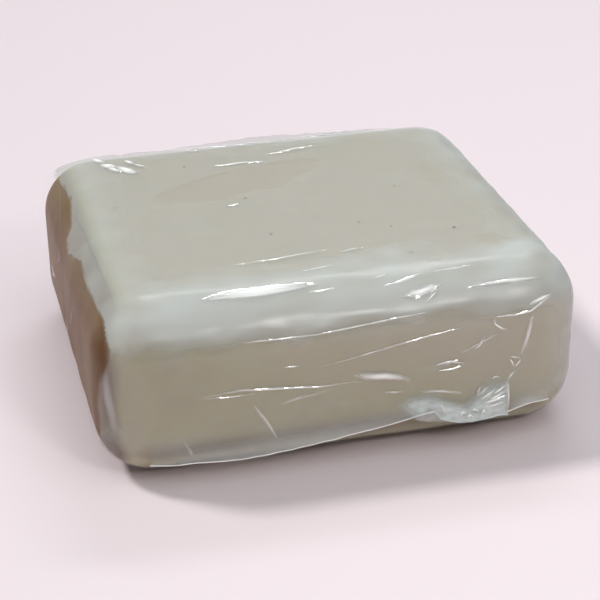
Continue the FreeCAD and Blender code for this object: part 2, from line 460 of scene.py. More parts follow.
@dataclass(frozen=True)
class FilmFinish:
    """Clear glossy film. It turns milky where its mesh says that it is creased or doubled, and its mesh
    paints sheen and glints as milk in places.
    """

    name: str
    roughness: float = 0.26
    crinkle: float = 0.05
    gloss: float = 0.075
    rim: float = 0.06
    through: float = 0.35
    milk: Triple = (0.77, 0.80, 0.775)
    tint: Triple = (0.975, 0.985, 0.985)
    wrinkles: Triple = (90.0, 420.0, 420.0)

    def build(self) -> bpy.types.Material:
        """Make the material.

        Returns:
            The film's material.
        """
        nodes = Nodes(self.name)
        place = nodes.add("ShaderNodeTexCoord")
        stretch = nodes.add("ShaderNodeMapping", Scale=self.wrinkles)
        nodes.link(place.outputs["Object"], stretch.inputs["Vector"])
        wrinkle = nodes.add("ShaderNodeTexNoise", Scale=1.0, Detail=3.0, Roughness=0.6)
        nodes.link(stretch.outputs[0], wrinkle.inputs["Vector"])
        relief = nodes.add("ShaderNodeBump", Strength=self.crinkle, Distance=0.0004)
        nodes.link(wrinkle.outputs["Fac"], relief.inputs["Height"])
        facing = nodes.add("ShaderNodeLayerWeight", Blend=0.5)
        nodes.link(relief.outputs["Normal"], facing.inputs["Normal"])
        slant = nodes.maths("POWER", facing.outputs["Facing"], 3.0)
        mirror = nodes.maths("ADD", nodes.maths("MULTIPLY", slant, self.rim), self.gloss)
        clear = nodes.add("ShaderNodeBsdfTransparent", Color=(*self.tint, 1))
        shine = nodes.add("ShaderNodeBsdfAnisotropic", Roughness=self.roughness, Color=(1, 1, 1, 1))
        nodes.link(relief.outputs["Normal"], shine.inputs["Normal"])
        film = nodes.mix(mirror, clear, shine)
        milk = nodes.add("ShaderNodeBsdfDiffuse", Color=(*self.milk, 1))
        glow = nodes.add("ShaderNodeBsdfTranslucent", Color=(*self.milk, 1))
        veil = nodes.mix(self.through, milk, glow)
        # The shade attribute: the film's milk, with painted sheen and painted glints where the mesh puts
        # them.
        haze_and_highlight = nodes.add("ShaderNodeAttribute", attribute_name="shade")
        whole = nodes.mix(haze_and_highlight.outputs["Fac"], film, veil)
        cover = nodes.add("ShaderNodeAttribute", attribute_name="cover")
        air = nodes.add("ShaderNodeBsdfTransparent", Color=(1, 1, 1, 1))
        shown = nodes.mix(cover.outputs["Fac"], air, whole)
        nodes.link(shown.outputs[0], nodes.output.inputs["Surface"])
        return nodes.material


@dataclass
class Sheet:
    """Points, faces and shades that grow into one mesh. Lengths are in millimetres.

    A shade says how milky the film is at a point, with painted sheen and glints in places, or how much
    painted shade darkens the soap. A cover under one thins a layer of film out to nothing, where it comes to
    lie flat on another, or where the film over the painted shade at the left end is cleared.
    """

    points: list[np.ndarray] = field(default_factory=list)
    faces: list[np.ndarray] = field(default_factory=list)
    shades: list[np.ndarray] = field(default_factory=list)
    covers: list[np.ndarray] = field(default_factory=list)
    count: int = 0

    def grid(self, points: np.ndarray, shade: np.ndarray | float, wrap: bool = False,
             cover: np.ndarray | float = 1.0) -> None:
        """Add a grid of points joined by four-sided faces.

        Args:
            points: Points in rows and columns.
            shade: The shade of all, or of each.
            wrap: Whether the last column joins the first.
            cover: The cover of all, or of each.
        """
        rows, columns = points.shape[:2]
        index = np.arange(rows * columns).reshape(rows, columns) + self.count
        if wrap:
            index = np.concatenate([index, index[:, :1]], axis=1)
        faces = np.stack([index[:-1, :-1], index[:-1, 1:], index[1:, 1:], index[1:, :-1]], axis=-1)
        self.points.append(points.reshape(-1, 3))
        self.faces.append(faces.reshape(-1, 4))
        self.shades.append(np.broadcast_to(shade, (rows, columns)).reshape(-1))
        self.covers.append(np.broadcast_to(cover, (rows, columns)).reshape(-1))
        self.count += rows * columns

    def leaf(self, first: np.ndarray, last: np.ndarray, way: np.ndarray, thickness: float, crumple: Ripple,
             shade: float, columns: int = 24, merge: float = 0.0) -> None:
        """Add a thin leaf of film stretched between two edges, closed unless it comes out of other film.

        Args:
            first: Points along one edge.
            last: As many points along the other.
            way: The direction that the leaf faces.
            thickness: Its thickness in the middle.
            crumple: How it is crumpled, less so along its first edge.
            shade: How milky it is on average.
            columns: How many points run across it.
            merge: The share of its width over which it comes out of the film behind it, as one layer of that.
        """
        share = np.linspace(0, 1, columns)[None, :, None]
        middle = first[:, None] * (1 - share) + last[:, None] * share
        bumps = crumple.at(middle.reshape(-1, 3)).reshape(middle.shape[:2])
        lift = (bumps * np.minimum(1, share[..., 0] * 3))[..., None]
        ends = np.sin(math.pi * np.linspace(0, 1, len(first))) ** 0.25
        half = thickness / 2 * (0.15 + 0.85 * np.sin(math.pi * share) ** 0.5) * ends[:, None, None]
        front = middle + way * (lift + half)
        back = middle + way * (lift - half)
        milk = np.clip(shade * (1 + 0.12 * bumps / crumple.height), 0, 1)
        if merge:
            along = np.linspace(0, 1, len(first))[:, None]
            self.grid(front, milk, cover=smooth_step(share[..., 0], 0, merge) * smooth_step(along, 0, 0.18))
            return
        ring = np.concatenate([front, back[:, ::-1]], axis=1)
        self.grid(ring, np.concatenate([milk, milk[:, ::-1]], axis=1), wrap=True)

    def piece(self, name: str, node: str, material: bpy.types.Material,
              joined: bool = False) -> bpy.types.Object:
        """Make the mesh and join it to the frame.

        Args:
            name: The piece's name.
            node: The CAD node that it stands for.
            material: The finish.
            joined: Whether points that lie on each other become one, so that grids run on without a seam.

        Returns:
            The object.
        """
        mesh = bpy.data.meshes.new(name)
        points = np.concatenate(self.points)
        faces = np.concatenate(self.faces)
        kept = np.arange(len(points))
        if joined:
            _, kept, places = np.unique(np.round(points, 3), axis=0, return_index=True, return_inverse=True)
            faces = places.reshape(-1)[faces]
        mesh.from_pydata((points[kept] * MM).tolist(), [], faces.tolist())
        for mark, values in (("shade", self.shades), ("cover", self.covers)):
            attribute = mesh.attributes.new(mark, "FLOAT", "POINT")
            attribute.data.foreach_set("value", np.concatenate(values)[kept])
        mesh.shade_smooth()
        mesh.update()
        mesh.validate()
        mesh.materials.append(material)
        obj = bpy.data.objects.new(name, mesh)
        bpy.context.scene.collection.objects.link(obj)
        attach(obj, "root")
        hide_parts(node)
        LOG.info("%s: %d points, %d faces", name, len(mesh.vertices), len(mesh.polygons))
        return obj


def block_surface(form: BarForm, step: float) -> list[tuple[Side, np.ndarray]]:
    """Lay grids over all six sides of the bar, meeting in the middle of each rounding.

    Args:
        form: The bar's form.
        step: The spacing of the grid's lines.

    Returns:
        Each side with its grid of points on the bar.
    """
    grids = []
    for side in Side:
        u, v, _ = (np.array(way, float) for way in side.value)
        reach = abs(u @ form.half), abs(v @ form.half)
        lines = [np.linspace(-r, r, 2 * round(r / step) + 1) for r in reach]
        across, up = np.meshgrid(lines[0], lines[1])
        points = form.on_side(side, across.ravel(), up.ravel(), 0.0)
        grids.append((side, points.reshape(*across.shape, 3)))
    return grids


@dataclass
class SoapBar:
    """The cast bar and the dark grains on its top. Lengths are in millimetres."""

    form: BarForm
    lens: Lens
    grid_step: float = 0.9
    grain: float = 0.16
    grains: Path = (
        (115, 208), (184, 167), (245, 198), (271, 234), (155, 279), (184, 297), (394, 186), (411, 252),
        (374, 258), (359, 222), (391, 226), (454, 227), (349, 271),
    )

    def build(self, soap: bpy.types.Material, dark: bpy.types.Material) -> None:
        """Make the bar and its grains.

        Args:
            soap: The soap's finish.
            dark: The grains' finish.
        """
        uneven = Ripple(0.05, (22, 22, 22), seed=4)
        body = Sheet()
        for _, grid in block_surface(self.form, self.grid_step):
            flat = grid.reshape(-1, 3)
            lift = -0.06 + np.clip(uneven.at(flat), -0.06, 0.06)
            points = self.form.settle(flat, lift).reshape(grid.shape)
            body.grid(points, self.painted_shade_brown(flat).reshape(grid.shape[:2]))
        body.piece("soap_body", "soap_bar", soap, joined=True)
        self.build_grains(dark)

    def painted_shade_brown(self, points: np.ndarray) -> np.ndarray:
        """Say how much shade is painted on the soap: most at its left end, which faces away from the light,
        some on its walls, more low down and to the left, and under it, least on its top.

        Args:
            points: Points on the soap.

        Returns:
            A shade from nought to one for each point.
        """
        way = self.form.normals(points)
        # Painted shade on the left end and the walls, where less light falls.
        turned = smooth_step(-way[:, 1], 0.2, 0.6)
        end = smooth_step(-way[:, 0] - 0.22 * turned, 0.15, 0.62)
        end = end * (1 - 0.12 * smooth_step(points[:, 2], 23, 29))
        wall = smooth_step(-way[:, 1], 0.75, 1.0)
        drift = 0.48 - 0.30 * smooth_step(points[:, 0] * 0.4 + points[:, 2], 8, 32)
        # Painted shade on the underside, next to the floor.
        under = smooth_step(-way[:, 2], 0.03, 0.45) * 0.45
        return np.clip(end * 0.95 + wall * drift + under + 0.02, 0, 1)

    def build_grains(self, dark: bpy.types.Material) -> None:
        """Make the dark grains where the photograph shows them.

        Args:
            dark: The grains' finish.
        """
        random = np.random.default_rng(9)
        specks = Sheet()
        middles = self.form.seen(self.lens, np.array(self.grains, float), 0.0)
        turn = np.linspace(0, 2 * math.pi, 9)[:-1]
        rise = np.linspace(-math.pi / 2, math.pi / 2, 6)
        for middle in middles:
            size = self.grain * random.uniform(0.7, 1.3)
            ring = np.stack([
                np.outer(np.cos(rise), np.cos(turn)) * random.uniform(1.0, 1.7),
                np.outer(np.cos(rise), np.sin(turn)),
                np.outer(np.sin(rise), np.ones(8)) * 0.3,
            ], axis=-1)
            specks.grid(middle + ring * size, 0.0, wrap=True)
        specks.piece("soap_grains", "soap_bar", dark)


@dataclass(frozen=True)
class Crease:
    """One crease of the film: where it runs, and how wide, high and milky it is in millimetres; the milk of
    the whitest is a painted glint.

    The path is in pixels of the photograph, or in millimetres from the middle of a side where one is named.
    """

    path: Path
    width: float = 0.5
    height: float = 0.10
    # How milky the crease is; near one, this white paints a glint.
    haze_and_highlight: float = 0.35
    side: Side | None = None
    flutter: float = 0.25
    stand: float = 0.0
    softness: float = 0.75

    def run(self, form: BarForm, lens: Lens, lift: float) -> np.ndarray:
        """Lay the crease on the film.

        Args:
            form: The bar's form.
            lens: The photograph's camera, for a path given by its pixels.
            lift: The height of the film above the bar.

        Returns:
            Evenly spaced points along the crease.
        """
        trail = smooth_path(np.array(self.path, float), 160)
        if self.stand:
            points = lens.on_wall(trail, form.middle, form.low[1] - self.stand)
        elif self.side is None:
            points = form.seen(lens, trail, lift)
        else:
            points = form.on_side(self.side, trail[:, 0], trail[:, 1], lift)
        length = np.concatenate([[0], np.cumsum(np.linalg.norm(np.diff(points, axis=0), axis=1))])
        steps = np.linspace(0, length[-1], max(6, round(length[-1] / 0.3)))
        return np.stack([np.interp(steps, length, points[:, axis]) for axis in range(3)], axis=-1)


def smooth_path(corners: np.ndarray, count: int) -> np.ndarray:
    """Draw a soft line through a few corners.

    Args:
        corners: The corners, in order.
        count: How many points the line gets.

    Returns:
        Evenly spaced points from the first corner to the last.
    """
    along = np.concatenate([[0], np.cumsum(np.linalg.norm(np.diff(corners, axis=0), axis=1))])
    share = np.linspace(0, along[-1], count)
    line = np.stack([np.interp(share, along, corners[:, axis]) for axis in range(corners.shape[1])], axis=-1)
    for _ in range(10 if len(corners) > 2 else 0):
        line[1:-1] = (line[:-2] + 2 * line[1:-1] + line[2:]) / 4
    return line


def drawn_creases(side: Side, reach: float, rise: float, count: int, seed: int) -> list[Crease]:
    """Scatter the creases of a tightly drawn sheet over one side, most of them slanting to its lower middle.

    Args:
        side: The side of the bar.
        reach: How far they spread across it from its middle, in millimetres.
        rise: How far they spread up and down.
        count: How many there are.
        seed: The seed of their scatter.

    Returns:
        The creases.
    """
    random = np.random.default_rng(seed)
    creases = []
    for _ in range(count):
        middle = random.uniform(-1, 1, 2) * (reach * 0.85, rise * 0.75)
        aside = middle[0] * 0.8 + random.normal(0, 6)
        turn = math.atan2(rise * 1.4 + middle[1], aside) + random.normal(0, 0.25)
        if random.random() < 0.4:
            turn = random.normal(0, 0.2)
        run = random.uniform(0.15, 0.5) * rise * np.array([math.cos(turn), math.sin(turn)])
        bend = random.normal(0, 0.5, 2)
        path = tuple(map(tuple, (middle - run, middle + bend, middle + run)))
        strength = random.uniform(0.3, 1.0)
        width = 0.4 + 0.8 * strength
        height = 0.05 + 0.12 * strength
        creases.append(Crease(path, width, height, 0.1 + 0.25 * strength, side))
    return creases


@dataclass
class Film:
    """The sheet of film where it lies on the bar, with its creases. Lengths are in millimetres."""

    form: BarForm
    lens: Lens
    clear: bpy.types.Material
    creased: bpy.types.Material
    thickness: float = 0.2
    grid_step: float = 0.8
    veil: float = 0.09
    floor_gap: float = 0.02
    ear_height: float = 2.1
    ear_reach: Triple = (6.0, 7.0, 5.5)
    patch_middle: tuple[float, float] = (-7.0, 11.5)
    patch_half: tuple[float, float] = (17.5, 5.4)
    patch_turn: float = math.radians(18)
    # Two small spots on the top where the film clings too: the place of each, and its size.
    spots: tuple[Triple, ...] = ((26.4, 6.6, 2.6), (27.2, -22.6, 3.6))
    # The edge of the pale film at the left end, by the pixels down and across the photograph.
    scallop_down: tuple[float, ...] = (
        183, 200, 227, 242, 254, 262, 279, 304, 321, 340, 350, 363, 380, 404, 425,
    )
    scallop_across: tuple[float, ...] = (
        61, 71, 72, 67, 69, 81, 85, 95, 104, 107, 110, 109, 101, 98, 101,
    )

    def lift(self, points: np.ndarray) -> np.ndarray:
        """Say how high the film lies above the bar, with the slight waves of a tight sheet.

        Args:
            points: Points on the bar.

        Returns:
            One height for each point.
        """
        draw = Ripple(0.035, (26, 6, 6), seed=5).at(points)
        slack = Ripple(0.03, (9, 9, 9), seed=6).at(points)
        corner = np.array([self.form.low[0] + 2, self.form.high[1] - 3, self.form.high[2] - 7])
        ear = self.ear_height * np.exp(-(((points - corner) / self.ear_reach) ** 2).sum(axis=-1))
        return self.thickness + np.clip(draw + slack, -0.1, 0.1) + ear

    def wetted(self, points: np.ndarray) -> np.ndarray:
        """Say where the film clings to the top with no air under it.

        Args:
            points: Points on the film.

        Returns:
            One where it clings and nought where it doesn't, for each point.
        """
        wander = Ripple(0.8, (9, 9, 9), seed=21).at(points)
        east = points[:, 0] - self.patch_middle[0]
        north = points[:, 1] - self.patch_middle[1]
        along = east * math.cos(self.patch_turn) + north * math.sin(self.patch_turn)
        aside = north * math.cos(self.patch_turn) - east * math.sin(self.patch_turn) + wander * 0.5
        depth = 1 - np.abs(along / self.patch_half[0]) ** 2.2 - np.abs(aside / self.patch_half[1]) ** 2
        patch = smooth_step(depth, -0.03, 0.20)
        for x, y, size in self.spots:
            gap = np.hypot(points[:, 0] - x, points[:, 1] - y) / (size + wander)
            patch = np.maximum(patch, 0.6 * smooth_step(1 - gap, 0.0, 0.5))
        return patch * (points[:, 2] > self.form.high[2] - 0.5)

    def milk_and_painted_sheen(self, points: np.ndarray) -> np.ndarray:
        """Say how milky the film is, with painted sheen: pale bands of painted reflection where it rounds the
        edges of the top and on the right end, a painted lit strip at the left end and a little more on the
        top, and more milk where it bunches at the foot.

        Args:
            points: Points on the film.

        Returns:
            A shade from nought to one for each point.
        """
        way = self.form.normals(points)
        wander = Ripple(1.0, (14, 14, 8), seed=31).at(points)
        level = points[:, 2] - self.form.low[2]
        tilt = np.degrees(np.arctan2(np.hypot(way[:, 0], way[:, 1]), way[:, 2]))
        # Painted reflection: pale bands of sheen where the film rounds the edges of the top.
        painted_edge_sheen = self.painted_edge_sheen(points, wander) * (1 - smooth_step(tilt + wander * 4, 56, 87))
        above = 1 - smooth_step(-way[:, 2], 0.03, 0.55)
        foot = (1 - smooth_step(level + wander * 1.6, 1.5, 12)) * (1 + smooth_step(-points[:, 0], 0, 30))
        # Painted reflection: a pale band on the right end.
        right = smooth_step(way[:, 0] + wander * 0.08, 0.0, 1.0)
        # Painted light: the lit, pale strip of film next to the scalloped edge at the left end.
        past = self.past_scallop(points)
        strip = np.interp(self.lens.pixels(points, self.form.middle)[:, 1], (300, 345), (45, 11))
        rim = smooth_step(past, -1.2, 1.2) * (1 - smooth_step(past - strip, 0, 9))
        rim = rim * smooth_step(-way[:, 0], 0.05, 0.5)
        # Painted sheen on the flat top.
        top = smooth_step(way[:, 2], 0.9, 1.0) * 0.15
        cloud = 1 + 0.12 * Ripple(1.0, (18, 14, 8), seed=33).at(points)
        haze_and_highlight = self.veil + top + 0.60 * painted_edge_sheen * cloud + (0.16 * foot + 0.42 * right) * above + 0.08 * rim
        # No milk where the film is cleared over the painted shade of the left end.
        return np.clip(haze_and_highlight * (1 - self.wetted(points) * 0.6) * (1 - self.bare(points)), 0, 0.85)

    def painted_edge_sheen(self, points: np.ndarray, wander: np.ndarray) -> np.ndarray:
        """Say where sheen is painted on the film as pale bands towards the edges of the top, most at the
        front and the left.

        Args:
            points: Points on the film.
            wander: How far the paleness strays at each point.

        Returns:
            A share from nought to one for each point.
        """
        middle = self.form.middle
        flat = self.form.half - self.form.radius
        paleness = np.zeros(len(points))
        for axis, side, reach, share in ((1, -1, 7, 1.0), (1, 1, 5, 0.45), (0, -1, 8, 0.42), (0, 1, 5, 0.50)):
            out = (points[:, axis] - middle[axis]) * side - flat[axis]
            paleness = np.maximum(paleness, share * smooth_step(out + wander, -reach, 6))
        return paleness

    def past_scallop(self, points: np.ndarray) -> np.ndarray:
        """Measure how far points lie to the right of the pale film's edge at the left end.

        Args:
            points: Points on the film.

        Returns:
            A distance in pixels of the photograph for each point.
        """
        pixels = self.lens.pixels(points, self.form.middle)
        return pixels[:, 0] - np.interp(pixels[:, 1], self.scallop_down, self.scallop_across)

    def bare(self, points: np.ndarray) -> np.ndarray:
        """Say where the film at the left end clings close and is cleared, so that the soap's painted shade
        shows and the end stays dark.

        Args:
            points: Points on the film.

        Returns:
            A share from nought to one for each point.
        """
        left = smooth_step(-self.form.normals(points)[:, 0], 0.3, 0.6)
        return (1 - smooth_step(self.past_scallop(points), -1.2, 1.2)) * left

    def build_skin(self) -> None:
        """Make the film where it lies on the bar."""
        skin = Sheet()
        for _, grid in block_surface(self.form, self.grid_step):
            flat = grid.reshape(-1, 3)
            # The film is cleared over the painted shade of the left end.
            cover = 1 - 0.9 * self.bare(flat)
            skin.grid(self.form.settle(flat, self.lift(flat)).reshape(grid.shape),
                      self.milk_and_painted_sheen(flat).reshape(grid.shape[:2]), cover=cover.reshape(grid.shape[:2]))
        skin.piece("film_skin", "film_wrap", self.clear, joined=True)

    def ribbon(self, sheet: Sheet, crease: Crease) -> None:
        """Add one crease as a low ridge that fades out at both ends.

        Args:
            sheet: The mesh to add it to.
            crease: The crease.
        """
        line = crease.run(self.form, self.lens, self.thickness)
        way = self.form.normals(line)
        if crease.stand:
            way = np.broadcast_to([0.0, -1.0, 0.0], line.shape)
        else:
            line = self.form.settle(line, self.lift(line) + 0.02)
        aside = unit(np.cross(way, unit(np.gradient(line, axis=0))))
        share = np.linspace(0, 1, len(line))
        fade = np.sin(math.pi * share) ** 0.6
        flutter = 1 + Ripple(crease.flutter, (5, 5, 5), seed=17).at(line)
        across = np.array([-1.0, -0.62, -0.28, -0.06, 0.10, 0.30, 0.62, 1.0])
        rise = np.array([-0.3, 0.10, 0.55, 1.0, 0.92, 0.35, 0.06, -0.3])
        milk = np.array([0.0, 0.25, 0.8, 1.0, 1.0, 0.7, 0.2, 0.0]) ** crease.softness
        cover = np.array([0.0, 0.5, 1.0, 1.0, 1.0, 1.0, 0.5, 0.0]) ** crease.softness
        cover = cover * min(1, 0.3 + crease.haze_and_highlight)
        wide = crease.width / 2 * (0.35 + 0.65 * fade)
        high = crease.height * fade * flutter
        points = line[:, None] + aside[:, None] * (across[None, :, None] * wide[:, None, None])
        points = points + way[:, None] * (rise[None, :] * high[:, None])[..., None]
        points[..., 2] = np.maximum(points[..., 2], self.floor_gap)
        # The crease's milk, which on the whitest creases paints a glint.
        shade = milk[None, :] * (crease.haze_and_highlight * fade)[:, None]
        sheet.grid(points, shade, cover=cover[None, :] * fade[:, None])

    def build_creases(self, name: str, creases: list[Crease]) -> None:
        """Make one group of creases.

        Args:
            name: The piece's name.
            creases: The creases.
        """
        sheet = Sheet()
        for crease in creases:
            self.ribbon(sheet, crease)
        sheet.piece(name, "film_wrap", self.creased)


@dataclass
class FilmEdge:
    """The cut edge of the film, which hangs from the front wall, and the crumpled tab in it.

    Lengths are in millimetres, and the outlines are in pixels of the photograph.
    """

    form: BarForm
    lens: Lens
    clear: bpy.types.Material
    creased: bpy.types.Material
    doubled: bpy.types.Material
    hang: float = 0.45
    tab_clear: float = 0.95
    behind_clear: float = 0.65
    bead: float = 0.20
    hem: Path = (
        (150, 466), (172, 466), (194, 463.5), (230, 460.5), (269, 454.5), (300, 447.5), (338, 438),
        (376, 428.5), (413, 417.5), (436, 411),
    )
    hem_right: Path = ((507, 411.5), (522, 405.5), (533, 402), (548, 398))
    tab_low: Path = (
        (412, 417.5), (434, 411), (441, 419.5), (458, 422.5), (472, 421.5), (488, 418), (499, 415),
        (508, 414.5),
    )
    tab_behind: Path = (
        (408, 419), (424, 421.5), (440, 422), (470, 421), (507, 413),
    )
    tab_high: Path = (
        (384, 404), (407, 395), (430, 390), (446, 396), (464, 400), (474, 392), (481, 378), (509, 373),
    )

    def build(self) -> None:
        """Make the hanging hem, the tab and the layer behind the tab."""
        self.build_hem()
        self.build_tab()

    def wall(self, path: Path, clear: float, count: int) -> np.ndarray:
        """Put an outline on an upright plane in front of the front wall.

        Args:
            path: The outline in pixels.
            clear: How far the plane stands clear of the soap.
            count: How many points the outline gets.

        Returns:
            The outline's points.
        """
        trail = smooth_path(np.array(path, float), count)
        return self.lens.on_wall(trail, self.form.middle, self.form.low[1] - clear)

    def add_bead(self, sheet: Sheet, edge: np.ndarray, shade: float) -> None:
        """Add a fine round bead along an edge.

        Args:
            sheet: The mesh to add it to.
            edge: Points along the edge.
            shade: How milky the bead is.
        """
        turn = np.linspace(0, 2 * math.pi, 9)[:-1]
        ring = np.stack([np.zeros(8), np.cos(turn), np.sin(turn)], axis=-1) * self.bead / 2
        sheet.grid(edge[:, None] + ring[None], shade, wrap=True)

    def build_hem(self) -> None:
        """Make the film that hangs from the wall down to its cut edge, with a fine bead along the cut."""
        sheet = Sheet()
        cut = Sheet()
        wave = Ripple(0.10, (7, 7, 30), seed=41)
        for path, count in ((self.hem, 170), (self.hem_right, 40)):
            low = self.wall(path, self.hang, count)
            high = low.copy()
            high[:, 2] = self.form.low[2] + self.form.radius + 1.0
            high[:, 1] = self.form.low[1] - 0.26
            share = np.linspace(0, 1, 26)[None, :, None]
            points = high[:, None] * (1 - share) + low[:, None] * share
            push = wave.at(points.reshape(-1, 3)).reshape(points.shape[:2]) * share[..., 0]
            points[..., 1] -= push
            ends = np.sin(math.pi * np.linspace(0, 1, count))[:, None] ** 0.5
            cover = smooth_step(share[..., 0], 0.0, 0.85) * ends
            sheet.grid(points, 0.28 + 0.34 * share[..., 0] ** 2, cover=cover)
            self.add_bead(cut, points[:, -1], 0.85)
        sheet.piece("film_hem", "film_wrap", self.clear)
        cut.piece("film_cut_edge", "film_wrap", self.creased)

    def build_tab(self) -> None:
        """Make the tab's two crumpled layers, pointed at the lower right, with a bright lower edge."""
        sheet = Sheet()
        count = 140
        face = np.array([0.0, -1.0, 0.0])
        crumple = Ripple(0.09, (13, 60, 7), seed=52, waves=9, sharp=True)
        low = self.wall(self.tab_low, self.tab_clear, count)
        sheet.leaf(self.wall(self.tab_high, 0.42, count), low, face, 0.10, crumple, 0.62, 46, merge=0.6)
        under = Ripple(0.07, (16, 60, 10), seed=53, waves=9, sharp=True)
        behind = self.wall(self.tab_behind, self.behind_clear, count)
        sheet.leaf(self.wall(self.tab_high, 0.30, count), behind, face, 0.08, under, 0.30, 30, merge=0.65)
        self.add_bead(sheet, low, 0.7)
        sheet.piece("film_tab", "film_wrap", self.doubled)


@dataclass
class FilmBase:
    """The film folded under the bar: a lapped seam and two folded ends. Lengths are in millimetres."""

    form: BarForm
    finish: bpy.types.Material
    seam_width: float = 14.0
    flap_inset: float = 12.0
    flap_reach: float = 24.0
    flap_width: float = 40.0

    def build(self) -> None:
        """Make the seam and the two folded ends."""
        sheet = Sheet()
        half_length = self.form.half[0]
        seam_reach = half_length - self.flap_inset
        down = np.array([0.0, 0.0, -1.0])
        crumple = Ripple(0.03, (6, 6, 6), seed=61)
        level = self.form.low[2] / 2
        rows = np.linspace(-seam_reach, seam_reach, 90)
        wander = Ripple(0.5, (12, 12, 12), seed=62).at(np.stack([rows, rows * 0, rows * 0], axis=-1))
        edges = [
            np.stack([rows, side * self.seam_width / 2 + wander, rows * 0 + level], axis=-1)
            for side in (-1, 1)
        ]
        sheet.leaf(edges[0], edges[1], down, self.form.low[2] * 0.85, crumple, 0.25)
        for side in (-1, 1):
            start = side * seam_reach
            run = np.linspace(start, start - side * self.flap_reach, 50)
            half = np.interp(np.linspace(0, 1, 50), (0, 1), (self.flap_width / 2, self.seam_width / 2))
            flap = [np.stack([run, turn * half, run * 0 + level * 0.9], axis=-1) for turn in (-1, 1)]
            sheet.leaf(flap[0], flap[1], down, self.form.low[2] * 0.8, crumple, 0.3, 40)
        sheet.piece("film_base", "film_wrap", self.finish)


# The creases that the photograph shows, each placed by the pixels that it runs through.
TOP_CREASES = [
    # Creases near full milk are painted glints, the first the broad glare along the front of the top.
    Crease(((199, 300.5), (222, 296), (250, 292.5), (283, 288), (317, 284)), 2.3, 0.20, 1.0,
           flutter=0.05, softness=0.12),
    Crease(((230, 266), (275, 259), (320, 251), (331, 249)), 0.56, 0.10, 0.68),
    Crease(((338, 252), (364, 247)), 0.48, 0.09, 0.68),
    Crease(((301, 271), (337, 264)), 0.48, 0.09, 0.68),
    Crease(((308, 292), (336, 287.5)), 0.56, 0.10, 0.68),
    Crease(((372, 277.5), (388, 274)), 0.48, 0.08, 0.54),
    Crease(((382, 286.5), (400, 281), (421.5, 274)), 0.72, 0.12, 0.81),
    Crease(((432, 271), (472, 265)), 0.48, 0.07, 0.47),
    Crease(((466, 287), (505, 281), (544, 277)), 1.28, 0.18, 1.0),
    Crease(((400, 297.5), (420, 293), (432, 288), (443, 284)), 1.6, 0.30, 1.0, softness=0.25),
    Crease(((426, 303), (434, 294), (439, 290)), 0.64, 0.12, 0.81),
    Crease(((211, 166), (240, 163), (267, 161)), 0.8, 0.12, 0.81),
    Crease(((267, 154), (290, 150), (315, 145)), 0.8, 0.14, 0.94),
    Crease(((226, 206), (240, 203)), 0.56, 0.08, 0.68),
]
